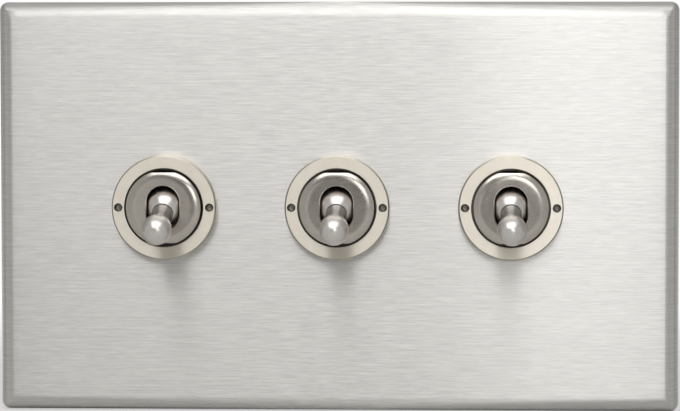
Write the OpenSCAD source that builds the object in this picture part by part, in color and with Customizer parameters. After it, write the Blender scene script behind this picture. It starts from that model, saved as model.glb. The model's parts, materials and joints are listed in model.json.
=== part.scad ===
// Three-gang toggle wall switch with a brushed steel plate.
// The wall is the plane Y = 0, the face looks along -Y, +X is right and +Z is up.
// The origin is midway between the two wall-box screws, on the wall.
// Every module draws its piece lying on its back: X right, Y up, Z out of the wall.

/* [Front plate] */
// Distance from a wall-box screw to the plate's side
plate_side = 13.2; // [12:0.1:16]
// Height of the plate
plate_h = 88.5; // [84:0.5:96]
// Height of the plate's face above the wall
plate_depth = 6; // [5.6:0.1:7]
// Thickness of the steel sheet
plate_t = 1; // [0.7:0.1:1.2]
// Outer radius of the rounded front edge
edge_r = 2.4; // [1.8:0.1:2.6]
// Radius of the plate's corners in outline
corner_r = 2.6; // [2.6:0.1:3.4]

/* [Gangs] */
// Distance from one toggle to the next
gang_pitch = 37.2; // [34:0.2:39]

/* [Ring nut] */
// Outer diameter of the ring nut
nut_d = 22.5; // [21.5:0.1:25]
// Thickness of the ring nut
nut_t = 2; // [1.6:0.1:2.4]
// Diameter of the plain mouth in front of the nut's thread
nut_mouth_d = 16.9; // [16.6:0.1:17.4]
// Depth of that mouth
nut_mouth_l = 1.2; // [0.8:0.1:1.4]
// Chamfer round the nut's front edge
nut_chamfer = 0.3; // [0.1:0.05:0.5]
// Pitch circle of the two spanner holes
spanner_pcd = 19.6; // [19.2:0.1:20]
// Diameter of a spanner hole
spanner_d = 1.7; // [1.2:0.1:1.8]
// Depth of a spanner hole to its full diameter
spanner_l = 1.1; // [0.8:0.1:1.2]

/* [Bush] */
// Outside diameter of the bush's thread
bush_d = 16; // [15.6:0.1:16.2]
// Distance across the bush's two flats
bush_flats = 15.1; // [14.6:0.1:15.4]
// How far the bush's face stands in front of the plate
bush_proud = 3.2; // [2.8:0.1:3.6]
// Width of the crowned band round the bush's face
crown_w = 1.5; // [1:0.1:1.7]
// Fall of that band from the face to the bush's edge
crown_h = 0.45; // [0.3:0.05:0.6]
// Thickness of the bush's flange behind the yoke
flange_t = 1.5; // [1.4:0.1:2]
// Width of the slot for the dolly
slot_w = 7.1; // [7:0.1:7.6]
// Length of the slot for the dolly
slot_l = 9.5; // [9.3:0.1:10.4]
// Chamfer round the mouth of the slot
slot_chamfer = 0.15; // [0.1:0.05:0.3]

/* [Dolly] */
// Tilt of the dolly up or down from square to the plate
throw = 20; // [18:0.5:20.5]
// Depth of the pivot behind the bush's face
pivot_depth = 2.9; // [2.8:0.1:3.1]
// Diameter of the pivot pin
pin_d = 2; // [1.6:0.1:2.4]
// Diameter of the ball that the dolly turns in
ball_d = 8.2; // [8:0.1:8.4]
// Diameter of the shoulder where the ball ends
shoulder_d = 4.6; // [4.6:0.1:5.2]
// Width of the groove behind the neck
groove_w = 0.25; // [0.15:0.05:0.4]
// Depth of the groove below the neck
groove_h = 0.2; // [0.1:0.05:0.4]
// Diameter of the neck
neck_d = 4.5; // [4.2:0.1:4.6]
// Distance from the pivot to where the knob starts
knob_from = 8.6; // [8:0.1:9.2]
// Diameter of the knob
knob_d = 6.3; // [6:0.1:7]
// Distance from the pivot to the middle of the knob's round end
knob_at = 11.8; // [11.2:0.1:12.6]
// Diameter of the tail inside the case
tail_d = 4.4; // [4.2:0.1:4.8]
// Length of the tail behind the pivot
tail_l = 9.4; // [9:0.1:9.6]

/* [Snap mechanism] */
// Distance from the pivot to the tip of the plunger
tip_reach = 13; // [12.8:0.1:13.3]
// Diameter of the plunger's round tip
tip_d = 2.4; // [2.1:0.1:2.4]
// Diameter of the bore in the tail
tail_bore_d = 2.6; // [2.5:0.05:2.8]
// Depth of that bore
tail_bore_l = 5.8; // [5.4:0.1:6]
// Length of the plunger's guided body in the bore
plunger_grip = 2.6; // [2.2:0.1:3]
// Diameter of the spigot that centres the spring
spigot_d = 1.2; // [0.8:0.1:1.3]
// Length of the spigot
spigot_l = 1.4; // [1:0.1:1.8]
// Diameter of the spring wire
wire_d = 0.3; // [0.2:0.05:0.35]
// Mean diameter of the spring's coil
coil_d = 1.8; // [1.75:0.05:1.9]
// Turns of the spring
coil_turns = 5; // [4:1:7]
// Tilt of the rocking contact to either side
rocker_tilt = 8; // [7:0.5:8.5]
// Thickness of the rocking contact's strip
strip_t = 0.8; // [0.6:0.05:1]
// Width of the strip
strip_w = 3.2; // [2.8:0.1:3.6]
// Diameter of the knuckle that the strip rocks on
knuckle_d = 1.6; // [1.4:0.1:1.8]
// Angle of the strip's dished middle to either side
dish_angle = 44; // [42:0.5:46]
// Distance from the knuckle to a contact
contact_at = 7; // [6.6:0.1:7.2]
// Diameter of a contact
contact_d = 2.6; // [2:0.1:2.8]
// Height of a contact button
contact_h = 0.7; // [0.5:0.05:0.9]
// Crown radius of a fixed contact
contact_crown = 3; // [2.5:0.1:5]

/* [Switch case] */
// Width of the case
case_w = 22; // [21:0.2:24]
// Height of the case
case_h = 36; // [35:0.2:40]
// Depth of the case behind the wall
case_back = 20; // [19.8:0.1:23]
// Thickness of the case's rear wall
rear_wall = 1.4; // [1.2:0.1:1.4]
// Rounding of the case's upright corners
case_r = 1.5; // [0.8:0.1:2]
// Thickness of the cover
cover_t = 1.8; // [1.6:0.1:2]
// Width of the chamber that the contact rocks in
chamber_w = 12; // [11.6:0.1:12.4]
// Depth of the chamber's floor behind the wall
chamber_back = 12; // [11.8:0.1:12.6]
// Diameter of the screws that hold bush, cover and case together
assembly_d = 2.5; // [2.2:0.1:2.6]
// Diameter of their countersunk heads
assembly_head_d = 4.4; // [4:0.1:4.8]

/* [Terminals] */
// Width of a terminal block
block_w = 6.8; // [6.4:0.1:7]
// Height of a terminal block
block_h = 6.2; // [5.8:0.1:6.4]
// Distance of a block's inner end from the middle of the switch
block_from = 9.8; // [9.6:0.1:10]
// Depth of a block's front behind the wall
block_front = 8; // [7.6:0.1:8.4]
// Side step of the two lower blocks
block_step = 4.5; // [4.4:0.1:4.8]
// Diameter of a wire hole
wire_hole_d = 4.4; // [4.2:0.1:4.6]
// Depth of a wire hole
wire_hole_l = 5.2; // [4.6:0.1:5.4]
// Depth of the wire hole's middle behind a block's front
wire_hole_at = 4; // [3.6:0.1:4.4]
// Diameter of the hole in the case that leads a wire in
wire_entry_d = 5.6; // [5:0.1:6]
// Diameter of a terminal screw
clamp_d = 3; // [2.5:0.1:3]
// Thickness of the tongue that carries a fixed contact
tongue_t = 1; // [0.8:0.05:1.2]

/* [Yoke and fixings] */
// Distance from the plate's side to the end of the yoke
yoke_side = 4; // [3.6:0.1:5]
// Distance from the plate's top to the edge of the yoke
yoke_top = 8.25; // [7:0.25:10]
// Rounding of the yoke's corners
yoke_corner_r = 3; // [1:0.5:5]
// Thickness of the yoke
yoke_t = 1.5; // [1.2:0.1:1.6]
// Gap between the yoke and the wall
yoke_gap = 0.2; // [0.1:0.05:0.4]
// Outer bend radius of the yoke's folded edges
bend_r = 2.2; // [2:0.1:3]
// Depth of the folded edges behind the wall
lip_back = 4; // [3:0.2:6]
// Distance from the end of the yoke to the end of a folded edge
lip_inset = 17.5; // [15:0.5:24]
// Width of the windows between the switches
window_w = 6; // [4:0.5:8]
// Length of those windows
window_l = 12; // [8:0.5:20]
// Distance between the two wall-box screws
fixing_pitch = 120.6; // [120:0.1:121]
// Thread diameter of a wall-box screw
fixing_d = 3.5; // [3:0.1:4]
// Reach of a wall-box screw behind the wall
fixing_reach = 22; // [15:0.5:40]
// Diameter of a screw's head
fixing_head_d = 6.6; // [6.4:0.1:7.4]
// Height of a screw's head
fixing_head_h = 2; // [1.6:0.1:2.2]
// Thickness of the liner's web
liner_t = 1.4; // [1.2:0.1:1.6]
// Thickness of the liner's outer wall
liner_wall = 1.5; // [1.2:0.1:1.8]
// Width of the ribs behind the liner's web
rib_w = 1.2; // [1:0.1:1.6]
// Size of the earth block
earth_size = 8; // [7.5:0.1:9]

/* [Clearances] */
// Radial gap of a running or sliding fit
run_gap = 0.05; // [0.03:0.01:0.08]
// Radial gap of a pin or thread that stays put
hold_gap = 0.02; // [0.01:0.01:0.04]
// Gap round a piece that drops into its place
drop_gap = 0.15; // [0.1:0.05:0.25]
// Gap round a piece that swings past another
swing_gap = 0.4; // [0.3:0.05:0.5]
// Gap between the dolly's ball and its seat
seat_gap = 0.2; // [0.15:0.05:0.3]
// Gap between the plunger's tip and the dished strip
tip_gap = 0.12; // [0.08:0.02:0.16]
// Gap between closed contacts
contact_gap = 0.06; // [0.04:0.01:0.1]

/* [Hidden] */
$fn = 96;
// Overshoot of a cut beyond the face that it opens
cut = 0.5;
gangs = [1, 2, 3];
gang_pieces = [
    "ring_nut", "bush", "dolly", "pivot_pin", "spring", "plunger", "rocker",
    "switch_cover", "switch_base", "com_terminal", "way1_terminal", "way2_terminal",
    "terminal_screws", "assembly_screws"
];

// Outlines of the plate and the yoke
plate_w = fixing_pitch + 2 * plate_side;
yoke_w = plate_w - 2 * yoke_side;
yoke_h = plate_h - 2 * yoke_top;
lip_l = yoke_w - 2 * lip_inset;

// Levels, measured out of the wall
sheet_z = plate_depth - plate_t;
web_z = sheet_z - liner_t;
yoke_z = yoke_gap + yoke_t;
bush_z = plate_depth + bush_proud;
pivot_z = bush_z - pivot_depth;
flange_z = yoke_gap - flange_t;
cover_z = flange_z - cover_t;
floor_z = -chamber_back;
block_z = -block_front;
block_rear_z = -case_back + rear_wall;
wire_z = block_z - wire_hole_at;

// Snap mechanism: the strip rocks through a fixed share of the dolly's angle, so in the strip's own frame
// the middle of the plunger's tip runs along a shallow arc through its middle and end positions
tip_r = tip_d / 2;
tip_at = tip_reach - tip_r;
knuckle_r = knuckle_d / 2;
dish_rise = knuckle_r / 2 + strip_t;
tip_rise = dish_rise + tip_gap + tip_r;
knuckle_z = pivot_z - tip_at - tip_rise;
end_y = tip_at * sin(throw);
end_z = tip_at + tip_rise - tip_at * cos(throw);
end_v = end_y * cos(rocker_tilt) - end_z * sin(rocker_tilt);
end_u = end_z * cos(rocker_tilt) + end_y * sin(rocker_tilt);
tip_arc_r = (pow(end_v, 2) + pow(end_u - tip_rise, 2)) / (2 * (end_u - tip_rise));
dish_r = tip_arc_r + tip_r + tip_gap;
dish_mid = dish_rise + dish_r;
wing_z = dish_mid - (dish_r + strip_t / 2) * cos(dish_angle);
wing_from = dish_r * sin(dish_angle);
wing_to = contact_at + contact_d / 2 + strip_t / 2;
contact_face = wing_z - strip_t / 2 - contact_h;

// Dolly and bush
bush_r = bush_d / 2;
ball_r = ball_d / 2;
knob_r = knob_d / 2;
neck_r = neck_d / 2;
shoulder_r = shoulder_d / 2;
shoulder_at = sqrt(pow(ball_r, 2) - pow(shoulder_r, 2));
groove_end = shoulder_at + groove_w;
seat_r = ball_r + seat_gap;
crown_r = (pow(crown_w, 2) + pow(crown_h, 2)) / (2 * crown_h);
pin_l = bush_d - crown_w;
tail_r = tail_d / 2;
tail_bore_r = tail_bore_d / 2;
bore_floor = tail_l - tail_bore_l;
plunger_r = tail_bore_r - run_gap;
plunger_from = tail_l - plunger_grip;
swing = tan(throw);
tail_half = tail_r / cos(throw);
rear_slot_l = 2 * ((pivot_z - flange_z) * swing + tail_half + swing_gap);
rear_slot_z = pivot_z - ball_r;
cover_slot_l = 2 * ((pivot_z - cover_z) * swing + tail_half + swing_gap);
cover_slot_w = tail_d + 2 * swing_gap;
thread_bore_r = bush_r + run_gap;

// Places of the terminal blocks of the common, first and second way
block_mid = block_from + block_h / 2;
com_at = [block_step, -block_mid];
way1_at = [0, block_mid];
way2_at = [-block_step, -block_mid];
terminals = [com_at, way1_at, way2_at];
wire_r = wire_hole_d / 2;
clamp_tip_z = wire_z - wire_r - drop_gap;
clamp_slot = clamp_d / 5;
tongue_w = strip_w + 2 * tongue_t;
tongue_from = contact_at - contact_d / 2 - strip_t;
strap_x = tongue_w / 2 + tongue_t;
strap_w = chamber_w / 2 - drop_gap - strap_x;
chamber_h = 2 * (block_from + cut + drop_gap);

// Assembly screws
assembly_x = (case_w + chamber_w) / 4;
assembly_y = sqrt(pow(bush_r + assembly_head_d / 2 + swing_gap, 2) - pow(assembly_x, 2));
assembly_tip_z = floor_z + rear_wall;
head_rise = (assembly_head_d - assembly_d) / 2;

// Liner and yoke
liner_edge_r = edge_r - plate_t - drop_gap;
liner_inset = plate_t + drop_gap;
pillar_d = nut_d - plate_t;
rib_z = (web_z + yoke_z) / 2;
rib_y = case_h / 2;
fixing_waist_d = fixing_d - swing_gap;
fixing_slot_w = fixing_d + 2 * swing_gap;
fixing_slot_l = 2 * fixing_d;
// The earth block sits midway between the cases and the yoke's lower edge
earth_drop = (case_h + yoke_h) / 4;
earth_bore_z = yoke_gap - earth_size / 2;

function gang_x(g) = (g - 2) * gang_pitch;

// Turns what was drawn lying on its back up against the wall
module upright() {
    rotate([90, 0, 0]) children();
}

module at_gang(g) {
    upright() translate([gang_x(g), 0, 0]) children();
}

// Turns a piece from its middle position to the tilt of the dolly at rest
module on_dolly() {
    translate([0, 0, pivot_z]) rotate([throw, 0, 0]) children();
}

// Turns a piece to a tilt of the rocking strip, about its knuckle
module on_rocker(tilt) {
    translate([0, 0, knuckle_z]) rotate([tilt, 0, 0]) children();
}

// Extrudes an outline of [up, out] points along X
module along_x(length) {
    rotate([90, 0, 90]) linear_extrude(length, center = true) children();
}

module obround(width, length) {
    translate([0, (length - width) / 2]) circle(d = width);
    translate([0, (width - length) / 2]) circle(d = width);
    square([width, length - width], center = true);
}

module rounded_rect(w, h, r) {
    square([w - 2 * r, h], center = true);
    square([w, h - 2 * r], center = true);
    for (x = [-1, 1]) for (y = [-1, 1]) translate([x * (w / 2 - r), y * (h / 2 - r)]) circle(r);
}

// Quarter section of a tray's rim: out from the corner's axis, up to its face
module rim_outline(out, low, high, r) {
    translate([0, low]) square([out, high - r - low]);
    if (r > 0) {
        translate([0, high - r]) square([out - r, r]);
        translate([out - r, high - r]) intersection() {
            circle(r);
            square(r);
        }
    }
}

module rim_section(low, high, web, wall, corner, edge) {
    difference() {
        rim_outline(corner, low, high, edge);
        translate([-cut, 0]) rim_outline(corner - wall + cut, low - cut, high - web, max(edge - wall, 0));
    }
}

// Shallow tray, open to the wall, with round edges and corners
module tray(w, h, low, high, web, wall, corner, edge) {
    x = w / 2 - corner;
    y = h / 2 - corner;
    translate([-x, -y, high - web]) cube([2 * x, 2 * y, web]);
    for (turn = [0, 180]) rotate([0, 0, turn]) {
        translate([x, y, 0]) rotate_extrude(angle = 90) rim_section(low, high, web, wall, corner, edge);
        translate([-x, y, 0]) rotate([0, 0, 90])
            rotate_extrude(angle = 90) rim_section(low, high, web, wall, corner, edge);
        translate([x, y, 0]) rotate([90, 0, 0])
            linear_extrude(2 * y) rim_section(low, high, web, wall, corner, edge);
        translate([-x, y, 0]) rotate([90, 0, 90])
            linear_extrude(2 * x) rim_section(low, high, web, wall, corner, edge);
    }
}

module front_plate() {
    color([0.8, 0.79, 0.77]) upright() difference() {
        tray(plate_w, plate_h, 0, plate_depth, plate_t, plate_t, corner_r, edge_r);
        for (g = gangs) translate([gang_x(g), 0, sheet_z - cut])
            cylinder(r = bush_r + drop_gap, h = plate_t + 2 * cut);
    }
}

// Ribs run behind the web, between the pillars that the bushes pass through
module liner_ribs() {
    rib_l = plate_h - 2 * (liner_inset + liner_wall);
    rib_run = plate_w - 2 * (liner_inset + liner_wall);
    for (x = [-1.5, -0.5, 0.5, 1.5]) translate([x * gang_pitch - rib_w / 2, -rib_l / 2, rib_z])
        cube([rib_w, rib_l, web_z - rib_z]);
    for (y = [-rib_y, rib_y]) translate([-rib_run / 2, y - rib_w / 2, rib_z])
        cube([rib_run, rib_w, web_z - rib_z]);
}

module plate_liner() {
    color([0.16, 0.16, 0.17]) upright() difference() {
        union() {
            tray(
                plate_w - 2 * liner_inset, plate_h - 2 * liner_inset, yoke_gap, sheet_z,
                liner_t, liner_wall, corner_r - drop_gap, liner_edge_r
            );
            liner_ribs();
            for (g = gangs) translate([gang_x(g), 0, yoke_z])
                cylinder(d = pillar_d, h = sheet_z - yoke_z);
        }
        for (g = gangs) translate([gang_x(g), 0, yoke_z - cut])
            cylinder(r = bush_r + drop_gap, h = plate_depth);
        for (x = [-1, 1]) translate([x * fixing_pitch / 2, 0, yoke_z])
            cylinder(d = fixing_head_d + 4 * swing_gap, h = plate_depth);
    }
}

// Folded edge of the yoke: a quarter bend and a short leg towards the wall box
module lip_outline() {
    y = yoke_h / 2;
    translate([y - bend_r, yoke_z - bend_r]) intersection() {
        difference() {
            circle(bend_r);
            circle(bend_r - yoke_t);
        }
        square(bend_r);
    }
    translate([y - yoke_t, -lip_back]) square([yoke_t, lip_back + yoke_z - bend_r]);
}

module bush_hole() {
    intersection() {
        circle(bush_r + drop_gap);
        square([bush_d + cut, bush_flats + 2 * drop_gap], center = true);
    }
}

module mounting_yoke() {
    color([0.72, 0.74, 0.76]) upright() {
        translate([0, 0, yoke_gap]) linear_extrude(yoke_t) difference() {
            rounded_rect(yoke_w, yoke_h - 2 * bend_r, yoke_corner_r);
            for (g = gangs) translate([gang_x(g), 0]) bush_hole();
            for (x = [-1, 1]) translate([x * fixing_pitch / 2, 0]) obround(fixing_slot_w, fixing_slot_l);
            for (x = [-0.5, 0.5]) translate([x * gang_pitch, 0]) obround(window_w, window_l);
        }
        along_x(lip_l) lip_outline();
        mirror([0, 1, 0]) along_x(lip_l) lip_outline();
    }
}

module fixing_screws() {
    head_r = fixing_head_d / 2;
    crown = (pow(head_r, 2) + pow(fixing_head_h, 2)) / (2 * fixing_head_h);
    color([0.75, 0.75, 0.74]) upright() for (x = [-1, 1]) translate([x * fixing_pitch / 2, 0, yoke_z])
        difference() {
            union() {
                rotate_extrude() intersection() {
                    translate([0, fixing_head_h - crown]) circle(crown);
                    square([head_r, fixing_head_h]);
                }
                translate([0, 0, -yoke_z]) cylinder(d = fixing_waist_d, h = yoke_z + cut);
                translate([0, 0, -fixing_reach - yoke_z]) cylinder(d = fixing_d, h = fixing_reach);
            }
            translate([-fixing_head_d, -fixing_d / 8, fixing_head_h / 2])
                cube([2 * fixing_head_d, fixing_d / 4, fixing_head_h]);
        }
}

module earth_terminal() {
    half = earth_size / 2;
    color([0.8, 0.66, 0.36]) upright() translate([0, -earth_drop, yoke_gap]) difference() {
        translate([-half, -half, -earth_size]) cube(earth_size);
        translate([0, 0, -half]) rotate([0, 90, 0])
            cylinder(d = wire_hole_d, h = earth_size + 2 * cut, center = true);
        translate([0, 0, -earth_size - cut]) cylinder(d = clamp_d + 2 * hold_gap, h = half + cut);
    }
}

// Headless clamp screw with a driver slot, pointing out of the wall from its lower end
module clamp_screw(length) {
    difference() {
        cylinder(d = clamp_d, h = length);
        translate([-clamp_d, -clamp_slot / 2, -clamp_slot])
            cube([2 * clamp_d, clamp_slot, 2 * clamp_slot]);
    }
}

module earth_screw() {
    length = earth_size / 2;
    color([0.78, 0.7, 0.5]) upright()
        translate([0, -earth_drop, earth_bore_z - wire_r - drop_gap - length]) clamp_screw(length);
}

module ring_nut(g) {
    r = nut_d / 2;
    mouth = nut_mouth_d / 2;
    color([0.82, 0.79, 0.73]) at_gang(g) translate([0, 0, plate_depth]) difference() {
        rotate_extrude() polygon([
            [thread_bore_r, 0], [r, 0], [r, nut_t - nut_chamfer], [r - nut_chamfer, nut_t],
            [mouth, nut_t], [mouth, nut_t - nut_mouth_l], [thread_bore_r, nut_t - nut_mouth_l]
        ]);
        for (side = [-1, 1]) translate([side * spanner_pcd / 2, 0, nut_t - spanner_l]) {
            cylinder(d = spanner_d, h = spanner_l + cut);
            translate([0, 0, -spanner_d / 4]) cylinder(d1 = 0, d2 = spanner_d, h = spanner_d / 4);
        }
    }
}

// Threaded barrel with a crowned front edge and two flats
module bush_barrel() {
    length = bush_z - yoke_gap;
    intersection() {
        translate([0, 0, yoke_gap]) rotate_extrude() {
            square([bush_r, length - crown_r]);
            square([bush_r - crown_w, length]);
            intersection() {
                translate([bush_r - crown_w, length - crown_r]) circle(crown_r);
                square([bush_r, length]);
            }
        }
        translate([0, 0, yoke_gap + length / 2])
            cube([bush_d + cut, bush_flats, length + cut], center = true);
    }
}

// Seat of the ball, open to the back
module ball_seat() {
    translate([0, 0, pivot_z]) sphere(seat_r);
    translate([0, 0, flange_z - cut]) cylinder(r = seat_r, h = pivot_z - flange_z + cut);
}

// Upright slot with a chamfered mouth
module dolly_slot() {
    half = (slot_l - slot_w) / 2;
    mouth = slot_w / 2 + slot_chamfer;
    translate([0, 0, flange_z - cut]) linear_extrude(bush_z - flange_z + 2 * cut) obround(slot_w, slot_l);
    for (y = [-half, half]) translate([0, y, bush_z - slot_chamfer])
        cylinder(r1 = slot_w / 2, r2 = mouth, h = slot_chamfer);
    translate([0, 0, bush_z - slot_chamfer]) rotate([90, 0, 0]) linear_extrude(2 * half, center = true)
        polygon([[-slot_w / 2, 0], [slot_w / 2, 0], [mouth, slot_chamfer], [-mouth, slot_chamfer]]);
}

module bush(g) {
    color([0.66, 0.64, 0.61]) at_gang(g) difference() {
        union() {
            bush_barrel();
            translate([0, 0, flange_z]) linear_extrude(flange_t) rounded_rect(case_w, case_h, case_r);
        }
        dolly_slot();
        ball_seat();
        translate([0, 0, flange_z - cut])
            linear_extrude(rear_slot_z - flange_z + cut) obround(slot_w, rear_slot_l);
        translate([0, 0, pivot_z]) rotate([0, 90, 0])
            cylinder(d = pin_d + 2 * hold_gap, h = bush_d, center = true);
        at_assembly() assembly_screw_space();
    }
}

module pivot_pin(g) {
    color([0.6, 0.6, 0.62]) at_gang(g) translate([0, 0, pivot_z]) rotate([0, 90, 0])
        cylinder(d = pin_d, h = pin_l, center = true);
}

// Right half of the turned lever's section, along its axis from the tail to the knob
module dolly_section() {
    // Flank of the knob: an arc that meets its round end smoothly and the neck at an angle
    drop = knob_at - knob_from;
    flank = (pow(drop, 2) + pow(neck_r, 2) - pow(knob_r, 2)) / (2 * (knob_r - neck_r));
    intersection() {
        translate([0, -tail_l]) square([knob_d, tail_l + knob_at + knob_r]);
        union() {
            intersection() {
                circle(ball_r);
                translate([0, -ball_r]) square([ball_r, ball_r + shoulder_at]);
            }
            square([neck_r - groove_h, knob_from]);
            translate([0, groove_end]) square([neck_r, knob_from - groove_end]);
            intersection() {
                translate([-flank, knob_at]) circle(knob_r + flank);
                translate([0, knob_from]) square([knob_r, drop]);
            }
            translate([0, knob_at]) circle(knob_r);
            translate([0, -tail_l]) square([tail_r, tail_l]);
        }
    }
}

module dolly(g) {
    color([0.72, 0.7, 0.67]) at_gang(g) on_dolly() difference() {
        rotate_extrude() dolly_section();
        translate([0, 0, -tail_l - cut]) cylinder(r = tail_bore_r, h = tail_bore_l + cut);
        rotate([0, 90, 0]) cylinder(d = pin_d + 2 * run_gap, h = ball_d, center = true);
    }
}

// Coil of round wire as a closed tube: rings of points along a helix
module coil(mean_r, r, from, to, turns, steps = 16, sides = 6) {
    rings = turns * steps;
    rise = to - from - 2 * r;
    slope = atan2(rise, turns * 360 * mean_r * PI / 180);
    points = [
        for (i = [0:rings]) for (j = [0:sides - 1])
            let (a = 360 * i / steps, b = 360 * j / sides, out = mean_r + r * cos(b))
            [
                out * cos(a) + r * sin(b) * sin(slope) * sin(a),
                out * sin(a) - r * sin(b) * sin(slope) * cos(a),
                from + r + rise * i / rings + r * sin(b) * cos(slope)
            ]
    ];
    walls = [
        for (i = [0:rings - 1]) for (j = [0:sides - 1])
            let (a = i * sides + j, b = i * sides + (j + 1) % sides)
            [b, a, a + sides, b + sides]
    ];
    ends = [[for (j = [0:sides - 1]) j], [for (j = [sides - 1:-1:0]) rings * sides + j]];
    polyhedron(points, concat(walls, ends));
}

module spring(g) {
    color([0.7, 0.7, 0.72]) at_gang(g) on_dolly()
        coil(coil_d / 2, wire_d / 2, -plunger_from + run_gap, -bore_floor - run_gap, coil_turns);
}

module plunger(g) {
    color([0.93, 0.92, 0.88]) at_gang(g) on_dolly() rotate([180, 0, 0]) {
        translate([0, 0, plunger_from]) cylinder(r = plunger_r, h = tip_at - plunger_from);
        translate([0, 0, plunger_from - spigot_l]) cylinder(d = spigot_d, h = spigot_l + cut);
        translate([0, 0, tip_at]) sphere(tip_r);
    }
}

// Section of the rocking strip: dished middle, flat wings and a round knuckle behind
module strip_section() {
    circle(knuckle_r);
    translate([0, dish_mid]) difference() {
        circle(dish_r + strip_t);
        circle(dish_r);
        for (side = [0, 1]) mirror([side, 0]) polygon(4 * dish_r * [
            [0, 0], [sin(dish_angle), -cos(dish_angle)], [1, 1], [0, 1]
        ]);
    }
    for (side = [0, 1]) mirror([side, 0])
        translate([wing_from, wing_z - strip_t / 2]) square([wing_to - wing_from, strip_t]);
}

module rocker(g) {
    color([0.8, 0.5, 0.33]) at_gang(g) on_rocker(-rocker_tilt) {
        along_x(strip_w) strip_section();
        for (side = [-1, 1]) translate([0, side * contact_at, contact_face])
            cylinder(d = contact_d, h = contact_h + strip_t / 2);
    }
}

// Crowned contact that the strip's own contact closes on at the end of its tilt
module fixed_contact(direction) {
    height = contact_h + tongue_t / 2;
    on_rocker(-direction * rocker_tilt) translate([0, direction * contact_at, contact_face - contact_gap])
        intersection() {
            translate([0, 0, -contact_crown]) sphere(contact_crown);
            translate([0, 0, -height]) cylinder(d = contact_d, h = height);
        }
}

// Brass block with a blind wire hole in its outer end and a clamp thread from behind
module terminal_block(at) {
    outer = block_from + block_h;
    translate([at[0], 0, 0]) rotate([0, 0, at[1] > 0 ? 0 : 180]) difference() {
        translate([-block_w / 2, block_from, block_rear_z])
            cube([block_w, block_h, block_z - block_rear_z]);
        translate([0, outer - wire_hole_l, wire_z]) rotate([-90, 0, 0])
            cylinder(r = wire_r, h = wire_hole_l + cut);
        translate([0, block_mid, block_rear_z - cut])
            cylinder(d = clamp_d + 2 * hold_gap, h = wire_z - block_rear_z + cut);
    }
}

// Tongue from a block to its fixed contact: a pad under the contact and a neck to its own block
module contact_tongue(at) {
    left = max(-tongue_w / 2, at[0] - block_w / 2);
    right = min(tongue_w / 2, at[0] + block_w / 2);
    mirror([0, at[1] > 0 ? 0 : 1, 0]) {
        translate([-tongue_w / 2, tongue_from, block_z - tongue_t])
            cube([tongue_w, block_from - drop_gap - tongue_from, tongue_t]);
        translate([left, tongue_from, block_z - tongue_t])
            cube([right - left, block_from + cut - tongue_from, tongue_t]);
    }
}

module way_terminal(at) {
    terminal_block(at);
    contact_tongue(at);
    fixed_contact(sign(at[1]));
}

module way1_terminal(g) {
    color([0.8, 0.66, 0.36]) at_gang(g) way_terminal(way1_at);
}

module way2_terminal(g) {
    color([0.8, 0.66, 0.36]) at_gang(g) way_terminal(way2_at);
}

// Strap along the chamber's floor and a post with the cradle that the knuckle rocks in
module com_terminal(g) {
    post = knuckle_d + 2 * strip_t;
    color([0.8, 0.66, 0.36]) at_gang(g) {
        terminal_block(com_at);
        translate([strap_x, -block_from - cut, floor_z])
            cube([strap_w, block_from + cut + post / 2, tongue_t]);
        translate([-strip_w / 2, -post / 2, floor_z])
            cube([strap_x + strap_w + strip_w / 2, post, tongue_t]);
        difference() {
            translate([-strip_w / 2, -post / 2, floor_z]) cube([strip_w, post, knuckle_z - floor_z]);
            translate([0, 0, knuckle_z]) rotate([0, 90, 0])
                cylinder(r = knuckle_r + run_gap, h = strip_w + 2 * cut, center = true);
        }
    }
}

// Centre line of each clamp screw, seen from the front
module at_clamps() {
    for (at = terminals) translate([at[0], at[1], 0]) children();
}

module terminal_screws(g) {
    length = clamp_tip_z + case_back;
    color([0.78, 0.7, 0.5]) at_gang(g) at_clamps() translate([0, 0, -case_back]) clamp_screw(length);
}

// The two assembly screws stand cornerwise, clear of the barrel
module at_assembly() {
    for (side = [-1, 1]) translate([side * assembly_x, side * assembly_y, yoke_gap]) children();
}

// Screw with a countersunk head, its head flush at the level of the origin
module assembly_screw_shape(gap, length) {
    r = assembly_d / 2 + gap;
    head = assembly_head_d / 2 + gap;
    rotate_extrude() polygon([[0, 0], [head, 0], [r, -head_rise], [r, -length], [0, -length]]);
}

module assembly_screw_space() {
    assembly_screw_shape(hold_gap, yoke_gap - assembly_tip_z);
}

module assembly_screws(g) {
    slot = assembly_d / 5;
    color([0.72, 0.72, 0.72]) at_gang(g) at_assembly() difference() {
        assembly_screw_shape(0, yoke_gap - assembly_tip_z);
        translate([-assembly_d, -slot / 2, -slot]) cube([2 * assembly_d, slot, 2 * slot]);
    }
}

// Moulded cover: a plate with a slot for the tail and feet that hold the terminal blocks down
module switch_cover(g) {
    foot = block_w / 2;
    color([0.13, 0.13, 0.14]) at_gang(g) difference() {
        union() {
            translate([0, 0, cover_z]) linear_extrude(cover_t) rounded_rect(case_w, case_h, case_r);
            at_clamps() translate([-foot / 2, -foot / 2, block_z])
                cube([foot, foot, cover_z - block_z + cut]);
        }
        translate([0, 0, cover_z - cut])
            linear_extrude(cover_t + 2 * cut) obround(cover_slot_w, cover_slot_l);
        at_assembly() assembly_screw_space();
    }
}

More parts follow.
